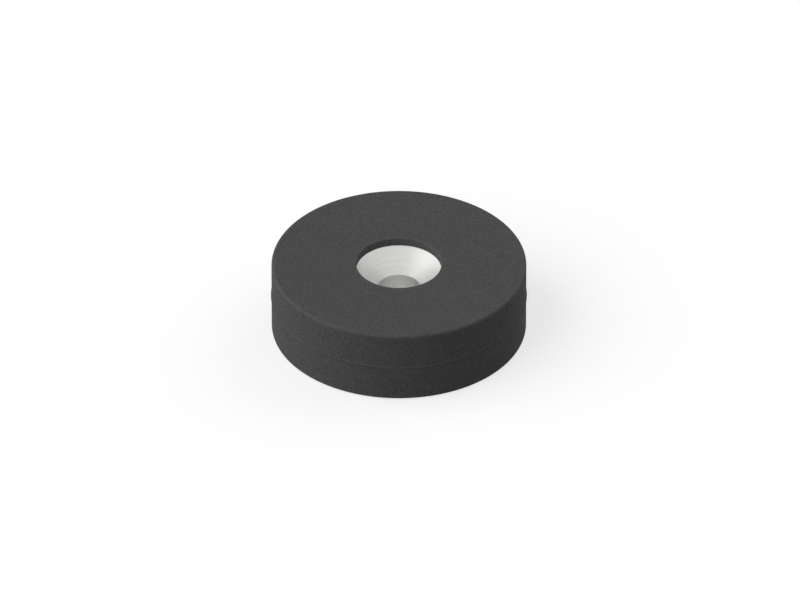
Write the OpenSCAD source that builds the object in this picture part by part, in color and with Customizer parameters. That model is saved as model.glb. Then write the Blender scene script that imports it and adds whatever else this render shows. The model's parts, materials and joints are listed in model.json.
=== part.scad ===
// Rubber coated ring magnet, held down by one countersunk screw.
// A nickel plated ring magnet has rubber moulded over both faces and round its rim.
// Millimetres. The bore runs along Z, and the origin is the centre of the back face.

/* [Magnet] */
// Diameter of the bare magnet
magnet_d = 28; // [22:0.5:40]
// Height of the bare magnet
magnet_h = 7; // [4:0.25:12]
// Radius of the tumbled edges round the magnet's rim
magnet_edge_r = 0.4; // [0.1:0.05:0.8]

/* [Screw hole] */
// Diameter of the bore that the screw's shank passes
bore_d = 5; // [3:0.1:7]
// Diameter of the countersink at its mouth
sink_d = 10; // [8:0.1:14]
// Angle between opposite walls of the countersink, in degrees
sink_angle = 90; // [80:1:110]
// Width of the break round the back end of the bore
bore_break = 0.2; // [0.05:0.05:0.3]

/* [Rubber coat] */
// Thickness of the rubber round the rim
side_wall = 1; // [0.6:0.1:2]
// Thickness of the rubber over the front face
front_wall = 1; // [0.6:0.1:2]
// Thickness of the rubber over the back face
back_wall = 1; // [0.6:0.1:2]
// Gap on the radius between the bore and the edge of the rubber at the back
back_relief = 0.5; // [0.3:0.1:1.5]
// Radius of the coat's outer edges
coat_edge_r = 0.3; // [0.1:0.05:0.5]
// Radius of the lips round the coat's two openings
lip_r = 0.15; // [0.05:0.05:0.3]

/* [Mould line] */
// Width of the fine bead that the mould's parting leaves round the rim
seam_w = 0.35; // [0.2:0.05:0.5]
// How far the bead stands out of the rim
seam_h = 0.09; // [0.03:0.01:0.1]

/* [Hidden] */
// How far a cut runs past the face that it opens
over = 1;
// Steps in a full turn, for the outlines and for the turned solids
arc_steps = 64;
turn_steps = 180;
rubber_grey = [0.29, 0.29, 0.29];
nickel = [0.80, 0.80, 0.78];

magnet_r = magnet_d / 2;
bore_r = bore_d / 2;
sink_r = sink_d / 2;
sink_depth = (sink_r - bore_r) / tan(sink_angle / 2);
coat_r = magnet_r + side_wall;
coat_h = back_wall + magnet_h + front_wall;
back_hole_r = bore_r + back_relief;
magnet_back_z = back_wall;
magnet_front_z = back_wall + magnet_h;
seam_z = coat_h / 2;
// Radius of the arc through the bead's two edges and its crest
seam_arc_r = (pow(seam_w / 2, 2) + pow(seam_h, 2)) / (2 * seam_h);

// What a rounded edge leaves out of a corner at the origin that fills the quarter below and to the left
module corner_waste(r) {
    difference() {
        translate([-r, -r]) square(2 * r);
        translate([-r, -r]) circle(r, $fn = arc_steps);
    }
}

// Half section of the magnet without its hole: also the hollow that it leaves in the rubber
module magnet_blank_section() {
    difference() {
        translate([0, magnet_back_z]) square([magnet_r, magnet_h]);
        translate([magnet_r, magnet_front_z]) corner_waste(magnet_edge_r);
        translate([magnet_r, magnet_back_z]) mirror([0, 1]) corner_waste(magnet_edge_r);
    }
}

// Half section of the screw hole: the break at the back, the bore, and the countersink opening to the front
module screw_hole_section() {
    polygon([
        [0, magnet_back_z - over],
        [bore_r + bore_break + over, magnet_back_z - over],
        [bore_r, magnet_back_z + bore_break],
        [bore_r, magnet_front_z - sink_depth],
        [sink_r, magnet_front_z],
        [sink_r, magnet_front_z + over],
        [0, magnet_front_z + over],
    ]);
}

module ring_magnet() {
    color(nickel)
        rotate_extrude($fn = turn_steps)
            difference() {
                magnet_blank_section();
                screw_hole_section();
            }
}

// Half section of the bead: a low arc whose edges lie on the rim
module seam_section() {
    intersection() {
        translate([coat_r + seam_h - seam_arc_r, seam_z]) circle(seam_arc_r, $fn = arc_steps);
        translate([coat_r - side_wall / 2, seam_z - seam_arc_r]) square([side_wall, 2 * seam_arc_r]);
    }
}

// Half section of the coat as moulded, before the magnet's place and the openings are taken out
module coat_blank_section() {
    difference() {
        square([coat_r, coat_h]);
        translate([coat_r, coat_h]) corner_waste(coat_edge_r);
        translate([coat_r, 0]) mirror([0, 1]) corner_waste(coat_edge_r);
    }
    seam_section();
}

// Half section of the front opening, as wide as the countersink, with a rounded lip
module front_opening_section() {
    translate([0, magnet_front_z - over]) square([sink_r, front_wall + 2 * over]);
    translate([sink_r, coat_h]) mirror([1, 0]) corner_waste(lip_r);
}

// Half section of the back opening, which stands clear of the bore, with a rounded lip
module back_opening_section() {
    translate([0, -over]) square([back_hole_r, back_wall + 2 * over]);
    translate([back_hole_r, 0]) rotate(180) corner_waste(lip_r);
}

module rubber_coat() {
    color(rubber_grey)
        rotate_extrude($fn = turn_steps)
            difference() {
                coat_blank_section();
                magnet_blank_section();
                front_opening_section();
                back_opening_section();
            }
}

ring_magnet();
rubber_coat();
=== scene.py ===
"""A rubber coated ring magnet on a white studio floor, seen from above its front.

Everything is in metres and in the CAD frame: the back face is on the floor at z = 0, and the bore
runs up Z. Only places in the materials' nodes are in millimetres, as their scales are counts to one.
"""
import json
import math

import bpy
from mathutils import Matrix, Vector, noise


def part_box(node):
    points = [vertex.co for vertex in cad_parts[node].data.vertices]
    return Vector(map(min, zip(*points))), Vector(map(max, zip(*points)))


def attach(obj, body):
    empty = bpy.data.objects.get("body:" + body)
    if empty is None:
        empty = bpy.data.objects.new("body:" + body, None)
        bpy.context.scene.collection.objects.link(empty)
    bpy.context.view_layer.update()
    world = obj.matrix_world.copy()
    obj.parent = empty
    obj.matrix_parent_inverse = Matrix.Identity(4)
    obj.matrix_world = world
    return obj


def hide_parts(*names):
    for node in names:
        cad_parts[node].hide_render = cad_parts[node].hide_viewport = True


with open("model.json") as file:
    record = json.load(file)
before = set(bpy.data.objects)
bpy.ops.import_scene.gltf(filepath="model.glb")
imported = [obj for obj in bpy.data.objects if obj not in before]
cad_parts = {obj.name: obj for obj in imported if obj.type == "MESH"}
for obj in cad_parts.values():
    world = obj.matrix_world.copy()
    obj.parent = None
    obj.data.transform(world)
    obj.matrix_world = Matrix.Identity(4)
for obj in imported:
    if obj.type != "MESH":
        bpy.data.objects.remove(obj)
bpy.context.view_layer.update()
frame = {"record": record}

MM = 0.001
COAT_LOW, COAT_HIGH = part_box("rubber_coat")
MAGNET_LOW, MAGNET_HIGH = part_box("ring_magnet")
MOUNTS = {mount["name"]: mount for mount in frame["record"]["mounts"]}

# The picture's frame, and where it shows the middle of the object, in pixels from its left and its top
IMAGE_WIDTH = 800
IMAGE_HEIGHT = 600
OBJECT_X = 398.9
OBJECT_Y = 294.1
# What the picture's width spans at the object
VIEW_WIDTH = 94.23 * MM
# An isometric view looks down at the angle whose sine is one over root three
VIEW_ELEVATION = math.asin(1 / math.sqrt(3))
# The lens and its sensor in millimetres: so long a lens that the view is close to a parallel one
LENS = 800
SENSOR = 36

# The fine bead that the mould's parting leaves round the rim: its width and its height, the share of
# the height that comes and goes along it, and the length of such a change
BEAD_WIDTH = 0.35 * MM
BEAD_HEIGHT = 0.09 * MM
BEAD_WANDER = 0.25
BEAD_WAVE = 2.5 * MM

# Distances from the axis, and heights over the back face
BORE_RADIUS = MOUNTS["screw_bore"]["dims"]["r_mm"] * MM
MOUTH_RADIUS = MOUNTS["head_recess"]["dims"]["r_mm"] * MM
RIM_RADIUS = COAT_HIGH.x - BEAD_HEIGHT
BACK_RELIEF = 0.5 * MM
BACK_HOLE_RADIUS = BORE_RADIUS + BACK_RELIEF
MIDDLE = (COAT_LOW.z + COAT_HIGH.z) / 2
# Walls of the countersink stand at right angles to each other, so it is as deep as it widens
SINK_FOOT = MAGNET_HIGH.z - (MOUTH_RADIUS - BORE_RADIUS)

# Radii of the rounded edges, the sharpest of which are only broken
COAT_EDGE = 0.3 * MM
LIP = 0.15 * MM
MAGNET_EDGE = 0.4 * MM
BORE_BREAK = 0.2 * MM
SINK_EDGE = 0.08 * MM
BROKEN = 0.04 * MM

# Steps of a full turn, of one rounded edge and of the bead
TURN_STEPS = 360
EDGE_STEPS = 8
BEAD_STEPS = 10
# How far from a rounded edge a guard point keeps the face beside it flat under smooth shading
GUARD = 0.03 * MM
# The points of one rounded corner: both ends of its arc, those between them, and a guard on each side
CORNER_POINTS = EDGE_STEPS + 3

# A mesh's texture map: its name, its rows, the margin round each of them, and the room for a face
# that the other piece covers, as a share of the usual room
MAP_NAME = "OFBake"
MAP_ROWS = 2
MAP_MARGIN = 0.005
COVERED_SHARE = 0.1

# The range that most of a noise's values lie in
NOISE_SPAN = (0.3, 0.7)

# The rubber's colours in linear light: the pits of its grain, the tops of it, and rubbed edges, whose
# lighter colour is partly a painted highlight
RUBBER_PITS = (0.069, 0.069, 0.0685, 1)
RUBBER_TOPS = (0.0945, 0.0945, 0.0935, 1)
RUBBER_RUBBED_HIGHLIGHT = (0.116, 0.116, 0.115, 1)
# Its grain: pebbles and finer wrinkles to a millimetre, the height of a pebble to that of a wrinkle,
# how deep it lies, and the range of its relief over which the shade goes from pits to tops
PEBBLES_PER_MM = 2.6
WRINKLES_PER_MM = 8.0
PEBBLE_HEIGHT = 0.5
GRAIN_DEPTH = 0.1 * MM
GRAIN_SPAN = (0.05, 0.45)
# Its broad clouds to a millimetre, and the grain's share of the shade, the rest of which is the clouds'
CLOUDS_PER_MM = 0.25
GRAIN_SHARE = 0.8
# Its roughness over the wrinkles, and how little it mirrors
RUBBER_ROUGHNESS = (0.80, 0.92)
RUBBER_SPECULAR = 0.09
# The rubbing of its edges, partly polish and partly a painted highlight: how far it reaches on the rim
# and at the opening, what is left of it from one end of a range of the clouds to the other, and what it
# does at most to shade, as a painted highlight, and to roughness
RIM_WEAR_AND_HIGHLIGHT = 0.55 * MM
MOUTH_WEAR_AND_HIGHLIGHT = 0.4 * MM
WEAR_AND_HIGHLIGHT_SPAN = (0.35, 0.65)
WEAR_AND_HIGHLIGHT_LEFT = (0.4, 1.0)
RUBBED_HIGHLIGHT_SHARE = 0.35
WEAR_POLISH = 0.22

# The nickel's darkest and brightest colour in linear light, and its roughness over its marks
NICKEL_DARK = (0.67, 0.665, 0.65, 1)
NICKEL_BRIGHT = (0.75, 0.745, 0.73, 1)
NICKEL_ROUGHNESS = (0.46, 0.58)
# Its marks to a millimetre, how deep they are, and how far in millimetres their noise moves on its
# way round the axis
MARKS_PER_MM = 3.5
MARK_DEPTH = 0.012 * MM
MARK_TURN = 0.25

# A strength of light that the picture shows as white
WHITE = 1.0
# With the lamps, this puts about 1 on a face that looks up, so that a colour renders as written
WORLD_LEVEL = 0.31
# The floor's radius and steps, and how far it lies under the back face, so that they share no plane
FLOOR_RADIUS = 3.0
FLOOR_STEPS = 64
FLOOR_GAP = 0.02 * MM
# The share of light that the floor shows the camera and so its shadow's depth, the glow that makes
# this up to white, and the share of light that it sends back to the object
FLOOR_SHOWN = 0.45
FLOOR_GLOW = 0.64
FLOOR_BOUNCE = 0.22


def rounded(corners):
    """The points of a closed outline. A corner is its distance from the axis, height and rounding."""
    points = []
    for place, (across, height, rounding) in enumerate(corners):
        corner = Vector((across, height))
        back = (Vector(corners[place - 1][:2]) - corner).normalized()
        ahead = (Vector(corners[(place + 1) % len(corners)][:2]) - corner).normalized()
        half = back.angle(ahead) / 2
        reach = rounding / math.tan(half)
        centre = corner + (back + ahead).normalized() * rounding / math.sin(half)
        first = (corner + back * reach - centre) / rounding
        last = (corner + ahead * reach - centre) / rounding
        points.append(corner + back * (reach + GUARD))
        for step in range(EDGE_STEPS + 1):
            points.append(centre + first.slerp(last, step / EDGE_STEPS) * rounding)
        points.append(corner + ahead * (reach + GUARD))
    return points


def covered(place):
    """True where the coat and the magnet touch. A place is its distance from the axis and its height."""
    across, height = place
    within = MOUTH_RADIUS < across < MAGNET_HIGH.x + BROKEN
    return within and MAGNET_LOW.z - BROKEN < height < MAGNET_HIGH.z + BROKEN


def lay_out(mesh, outline):
    """Gives a turned mesh a texture map: its skin unrolled and folded into rows, the outline up each."""
    reach = [0.0]
    for here, there in zip(outline, outline[1:] + outline[:1]):
        share = COVERED_SHARE if covered((here + there) / 2) else 1
        reach.append(reach[-1] + (there - here).length * share)
    row_steps = TURN_STEPS // MAP_ROWS
    inside = 1 - 2 * MAP_MARGIN
    places = []
    for low, high in zip(reach, reach[1:]):
        for step in range(TURN_STEPS):
            row, along = divmod(step, row_steps)
            for beside, up in ((along, low), (along + 1, low), (along + 1, high), (along, high)):
                places.append(MAP_MARGIN + beside / row_steps * inside)
                places.append((row + MAP_MARGIN + up / reach[-1] * inside) / MAP_ROWS)
    mesh.uv_layers.new(name=MAP_NAME).uv.foreach_set("vector", places)


def turned(name, outline):
    """A solid of revolution about the bore's axis, smooth all over. It lies on the outline's left."""
    around = [math.tau * step / TURN_STEPS for step in range(TURN_STEPS)]
    corners = [(p.x * math.cos(a), p.x * math.sin(a), p.y) for p in outline for a in around]
    faces = []
    for ring in range(len(outline)):
        here = ring * TURN_STEPS
        there = (ring + 1) % len(outline) * TURN_STEPS
        for step in range(TURN_STEPS):
            beside = (step + 1) % TURN_STEPS
            faces.append((here + step, here + beside, there + beside, there + step))
    mesh = bpy.data.meshes.new(name)
    mesh.from_pydata(corners, [], faces)
    mesh.shade_smooth()
    lay_out(mesh, outline)
    made = bpy.data.objects.new(name, mesh)
    bpy.context.scene.collection.objects.link(made)
    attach(made, "root")
    return made


def bead_rise(height):
    """How far a full bead stands out of the rim at a height: a low arc over its width."""
    arc = (BEAD_WIDTH ** 2 / 4 + BEAD_HEIGHT ** 2) / (2 * BEAD_HEIGHT)
    off = min(abs(height - MIDDLE), BEAD_WIDTH / 2)
    return math.sqrt(arc ** 2 - off ** 2) - (arc - BEAD_HEIGHT)


def raise_bead(coat):
    """Pushes the rim's middle out into the parting bead, here a little more and there a little less."""
    for vertex in coat.data.vertices:
        across = vertex.co.xy.length
        rise = bead_rise(vertex.co.z)
        if across > RIM_RADIUS - GUARD and rise > 0:
            wander = (1 + noise.noise(vertex.co / BEAD_WAVE)) / 2
            vertex.co.xy *= (across + rise * (1 - BEAD_WANDER * wander)) / across


def rubber_coat(material):
    """The moulded coat, closed over the magnet, with an opening on each face."""
    outline = rounded([
        (BACK_HOLE_RADIUS, COAT_LOW.z, LIP),
        (RIM_RADIUS, COAT_LOW.z, COAT_EDGE),
        (RIM_RADIUS, COAT_HIGH.z, COAT_EDGE),
        (MOUTH_RADIUS, COAT_HIGH.z, LIP),
        (MOUTH_RADIUS, MAGNET_HIGH.z, BROKEN),
        (MAGNET_HIGH.x, MAGNET_HIGH.z, MAGNET_EDGE),
        (MAGNET_HIGH.x, MAGNET_LOW.z, MAGNET_EDGE),
        (BACK_HOLE_RADIUS, MAGNET_LOW.z, BROKEN),
    ])
    # One step more on each side of the bead keeps the rim beside it flat
    heights = [MIDDLE + BEAD_WIDTH * (step / BEAD_STEPS - 1 / 2) for step in range(-1, BEAD_STEPS + 2)]
    after_rim_foot = 2 * CORNER_POINTS
    outline[after_rim_foot:after_rim_foot] = [Vector((RIM_RADIUS, height)) for height in heights]
    coat = turned("moulded_coat", outline)
    raise_bead(coat)
    coat.data.materials.append(material)
    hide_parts("rubber_coat")


def ring_magnet(material):
    """The plated magnet: a ring with tumbled edges, a bore and a countersink."""
    outline = rounded([
        (BORE_RADIUS + BORE_BREAK, MAGNET_LOW.z, BROKEN),
        (MAGNET_HIGH.x, MAGNET_LOW.z, MAGNET_EDGE),
        (MAGNET_HIGH.x, MAGNET_HIGH.z, MAGNET_EDGE),
        (MOUTH_RADIUS, MAGNET_HIGH.z, SINK_EDGE),
        (BORE_RADIUS, SINK_FOOT, SINK_EDGE),
        (BORE_RADIUS, MAGNET_LOW.z + BORE_BREAK, BROKEN),
    ])
    # The back face gets a point where the coat begins to cover it, because the texture map needs one
    outline.insert(CORNER_POINTS, Vector((BACK_HOLE_RADIUS, MAGNET_LOW.z)))
    magnet = turned("plated_magnet", outline)
    magnet.data.materials.append(material)
    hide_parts("ring_magnet")


def add(tree, kind, inputs=None, **settings):
    """A new node of a tree. An input is a number, a colour or another node's output."""
    made = tree.nodes.new("ShaderNode" + kind)
    for name, value in settings.items():
        setattr(made, name, value)
    for name, value in (inputs or {}).items():
        if isinstance(value, bpy.types.NodeSocket):
            tree.links.new(value, made.inputs[name])
        else:
            made.inputs[name].default_value = value
    return made


def math_node(tree, operation, first, second=0.0, third=0.0):
    """The output of a Math node."""
    return add(tree, "Math", {0: first, 1: second, 2: third}, operation=operation).outputs[0]


def remap(tree, value, span, onto):
    """A value mapped from one range onto another, smoothly and within it."""
    made = add(tree, "MapRange", {"Value": value}, interpolation_type="SMOOTHSTEP")
    made.inputs["From Min"].default_value, made.inputs["From Max"].default_value = span
    made.inputs["To Min"].default_value, made.inputs["To Max"].default_value = onto
    return made.outputs["Result"]


def noise_at(tree, place, scale, detail, roughness):
    """The value of a noise at a place, about 0.5 on the whole."""
    return add(tree, "TexNoise", {"Vector": place, "Scale": scale, "Detail": detail,
                                  "Roughness": roughness}).outputs["Fac"]


def mixed(tree, share, first, second):
    """The second colour by a share, and for the rest the first."""
    return add(tree, "MixRGB", {"Fac": share, "Color1": first, "Color2": second}).outputs[0]


def bumped(tree, relief, depth):
    """The surface's normal with a relief of this depth on it."""
    return add(tree, "Bump", {"Strength": 1.0, "Distance": depth, "Height": relief}).outputs["Normal"]


def scaled(tree, vector, factor):
    """A vector times a number."""
    return add(tree, "VectorMath", {0: vector, "Scale": factor}, operation="SCALE").outputs[0]


def length_of(tree, vector):
    """The length of a vector."""
    return add(tree, "VectorMath", {0: vector}, operation="LENGTH").outputs["Value"]


def place_in_mm(tree):
    """The place on the object in millimetres."""
    return scaled(tree, add(tree, "TexCoord").outputs["Object"], 1 / MM)


def about_axis(tree, place):
    """The part of a place that is across the bore's axis, the length of that part, and the height."""
    apart = add(tree, "SeparateXYZ", {0: place}).outputs
    outwards = add(tree, "CombineXYZ", {"X": apart["X"], "Y": apart["Y"]}).outputs[0]
    return outwards, length_of(tree, outwards), apart["Z"]


def near_ring(tree, across, height, ring_radius, ring_height, reach):
    """1 on a ring round the axis, falling to 0 at a reach from it. Only the place is in millimetres."""
    sideways = math_node(tree, "SUBTRACT", across, ring_radius / MM)
    upwards = math_node(tree, "SUBTRACT", height, ring_height / MM)
    apart = add(tree, "CombineXYZ", {"X": sideways, "Y": upwards}).outputs[0]
    return remap(tree, length_of(tree, apart), (0.0, reach / MM), (1.0, 0.0))


def new_material(name):
    """A material with an empty tree."""
    material = bpy.data.materials.new(name)
    material.use_nodes = True
    material.node_tree.nodes.clear()
    return material, material.node_tree


def edge_wear_and_highlight(tree, in_mm, cloud):
    """How much the coat's edges are rubbed at a place, which the clouds change a little; the same mask
    paints a highlight on them.
    """
    _, across, height = about_axis(tree, in_mm)
    top = near_ring(tree, across, height, RIM_RADIUS, COAT_HIGH.z, RIM_WEAR_AND_HIGHLIGHT)
    foot = near_ring(tree, across, height, RIM_RADIUS, COAT_LOW.z, RIM_WEAR_AND_HIGHLIGHT)
    mouth = near_ring(tree, across, height, MOUTH_RADIUS, COAT_HIGH.z, MOUTH_WEAR_AND_HIGHLIGHT)
    nearest = math_node(tree, "MAXIMUM", math_node(tree, "MAXIMUM", top, foot), mouth)
    return math_node(tree, "MULTIPLY", nearest, remap(tree, cloud, WEAR_AND_HIGHLIGHT_SPAN, WEAR_AND_HIGHLIGHT_LEFT))


def rubber():
    """Dark grey moulded rubber: matt, with its mould's fine grain, and edges polished and painted lighter
    as a highlight.
    """
    material, tree = new_material("moulded_rubber")
    in_mm = place_in_mm(tree)
    # A pebble is highest in its middle, where the distance to the middle is nothing
    pebbles = add(tree, "TexVoronoi", {"Vector": in_mm, "Scale": PEBBLES_PER_MM}, feature="F1")
    wrinkles = noise_at(tree, in_mm, WRINKLES_PER_MM, detail=3.0, roughness=0.6)
    relief = math_node(tree, "MULTIPLY_ADD", pebbles.outputs["Distance"], -PEBBLE_HEIGHT, wrinkles)
    cloud = noise_at(tree, in_mm, CLOUDS_PER_MM, detail=4.0, roughness=0.55)
    wear_and_highlight = edge_wear_and_highlight(tree, in_mm, cloud)
    level = math_node(tree, "MULTIPLY_ADD", remap(tree, relief, GRAIN_SPAN, (0.0, 1.0)), GRAIN_SHARE,
                      math_node(tree, "MULTIPLY", cloud, 1 - GRAIN_SHARE))
    shade = mixed(tree, level, RUBBER_PITS, RUBBER_TOPS)
    # Rubbed edges are painted lighter: partly wear, partly a painted highlight that picks out their shape
    shade = mixed(tree, math_node(tree, "MULTIPLY", wear_and_highlight, RUBBED_HIGHLIGHT_SHARE), shade, RUBBER_RUBBED_HIGHLIGHT)
    matt = remap(tree, wrinkles, NOISE_SPAN, RUBBER_ROUGHNESS)
    matt = math_node(tree, "MULTIPLY_ADD", wear_and_highlight, -WEAR_POLISH, matt)
    shader = add(tree, "BsdfPrincipled", {"Base Color": shade, "Roughness": matt,
                                          "Specular IOR Level": RUBBER_SPECULAR,
                                          "Normal": bumped(tree, relief, GRAIN_DEPTH)})
    add(tree, "OutputMaterial", {"Surface": shader.outputs[0]})
    return material


def ring_marks(tree):
    """A noise drawn out into fine rings round the axis, which change a little on their way round."""
    outwards, across, height = about_axis(tree, place_in_mm(tree))
    way = add(tree, "VectorMath", {0: outwards}, operation="NORMALIZE").outputs[0]
    way = add(tree, "SeparateXYZ", {0: scaled(tree, way, MARK_TURN)}).outputs
    rings = add(tree, "CombineXYZ", {"X": across, "Y": way["X"], "Z": way["Y"]}).outputs[0]
    return add(tree, "TexNoise", {"Vector": rings, "W": height, "Scale": MARKS_PER_MM, "Detail": 4.0,
                                  "Roughness": 0.65}, noise_dimensions="4D").outputs["Fac"]


def nickel():
    """Satin nickel plate over a ground magnet, with fine marks round its axis."""
    material, tree = new_material("nickel_plate_finish")
    marks = ring_marks(tree)
    shade = mixed(tree, remap(tree, marks, NOISE_SPAN, (0.0, 1.0)), NICKEL_DARK, NICKEL_BRIGHT)
    gloss = remap(tree, marks, NOISE_SPAN, NICKEL_ROUGHNESS)
    shader = add(tree, "BsdfPrincipled", {"Base Color": shade, "Metallic": 1.0, "Roughness": gloss,
                                          "Normal": bumped(tree, marks, MARK_DEPTH)})
    add(tree, "OutputMaterial", {"Surface": shader.outputs[0]})
    return material


def kinds_of_ray(tree):
    """1 for a ray from the camera and otherwise 0, and the same for one that metal or glass sends on."""
    path = add(tree, "LightPath").outputs
    return path["Is Camera Ray"], math_node(tree, "MAXIMUM", path["Is Glossy Ray"],
                                            path["Is Transmission Ray"])


def grey(level):
    """The colour of a grey."""
    return level, level, level, 1


def floor():
    """A white floor that keeps a soft shadow."""
    bpy.ops.mesh.primitive_circle_add(vertices=FLOOR_STEPS, radius=FLOOR_RADIUS, fill_type="NGON",
                                      location=(0, 0, COAT_LOW.z - FLOOR_GAP))
    ground = bpy.context.object
    ground.name = "floor"
    material, tree = new_material("white_floor")
    lit = add(tree, "BsdfDiffuse", {"Color": grey(FLOOR_SHOWN)}).outputs[0]
    glow = add(tree, "Emission", {"Strength": FLOOR_GLOW}).outputs[0]
    shown = add(tree, "AddShader", {0: lit, 1: glow}).outputs[0]
    plain = add(tree, "BsdfDiffuse", {"Color": grey(FLOOR_BOUNCE)}).outputs[0]
    white = add(tree, "Emission", {"Strength": WHITE}).outputs[0]
    seen, mirrored = kinds_of_ray(tree)
    unseen = add(tree, "MixShader", {0: mirrored, 1: plain, 2: white}).outputs[0]
    surface = add(tree, "MixShader", {0: seen, 1: unseen, 2: shown}).outputs[0]
    add(tree, "OutputMaterial", {"Surface": surface})
    ground.data.materials.append(material)


def sky():
    """A plain level of light from all round, which the camera and the metal see as white."""
    world = bpy.data.worlds.new("studio")
    world.use_nodes = True
    tree = world.node_tree
    tree.nodes.clear()
    lit = add(tree, "Background", {"Color": grey(1), "Strength": WORLD_LEVEL}).outputs[0]
    white = add(tree, "Background", {"Color": grey(1), "Strength": WHITE}).outputs[0]
    direct = math_node(tree, "MAXIMUM", *kinds_of_ray(tree))
    surroundings = add(tree, "MixShader", {0: direct, 1: lit, 2: white}).outputs[0]
    add(tree, "OutputWorld", {"Surface": surroundings})
    bpy.context.scene.world = world


def direction(azimuth, elevation):
    """The way to something seen at these angles in degrees: azimuth 0 is the front, and 90 is the right."""
    turn, rise = math.radians(azimuth), math.radians(elevation)
    return Vector((math.sin(turn) * math.cos(rise), -math.cos(turn) * math.cos(rise), math.sin(rise)))


def lamp(name, azimuth, elevation, level, spread):
    """A far soft light. Its level is what it adds to a face that looks at it, its spread is in degrees."""
    light = bpy.data.lights.new(name, "SUN")
    light.energy = level * math.pi
    light.angle = math.radians(spread)
    made = bpy.data.objects.new(name, light)
    made.location = direction(azimuth, elevation)
    made.rotation_euler = made.location.to_track_quat("Z", "Y").to_euler()
    bpy.context.scene.collection.objects.link(made)
    return made


def lights():
    """A key on the left, a weaker fill behind on the right, and a glint that is seen only mirrored."""
    lamp("key", azimuth=-74, elevation=25, level=0.85, spread=90).visible_glossy = False
    lamp("fill", azimuth=124, elevation=22, level=0.33, spread=70).visible_glossy = False
    lamp("glint", azimuth=-98, elevation=8, level=0.44, spread=96).visible_diffuse = False


def camera():
    """The picture's isometric view, with the object where the picture has it."""
    data = bpy.data.cameras.new("camera")
    data.lens = LENS
    data.sensor_width = SENSOR
    made = bpy.data.objects.new("camera", data)
    back = Vector((0, -math.cos(VIEW_ELEVATION), math.sin(VIEW_ELEVATION)))
    up = Vector((0, math.sin(VIEW_ELEVATION), math.cos(VIEW_ELEVATION)))
    pixel = VIEW_WIDTH / IMAGE_WIDTH
    aim = Vector((0, 0, MIDDLE))
    aim.x += (IMAGE_WIDTH / 2 - OBJECT_X) * pixel
    aim -= up * (IMAGE_HEIGHT / 2 - OBJECT_Y) * pixel
    made.location = aim + back * VIEW_WIDTH * LENS / SENSOR
    made.rotation_euler = back.to_track_quat("Z", "Y").to_euler()
    bpy.context.scene.collection.objects.link(made)
    bpy.context.scene.camera = made


rubber_coat(rubber())
ring_magnet(nickel())
floor()
sky()
lights()
camera()
bpy.context.scene.view_settings.view_transform = "Standard"
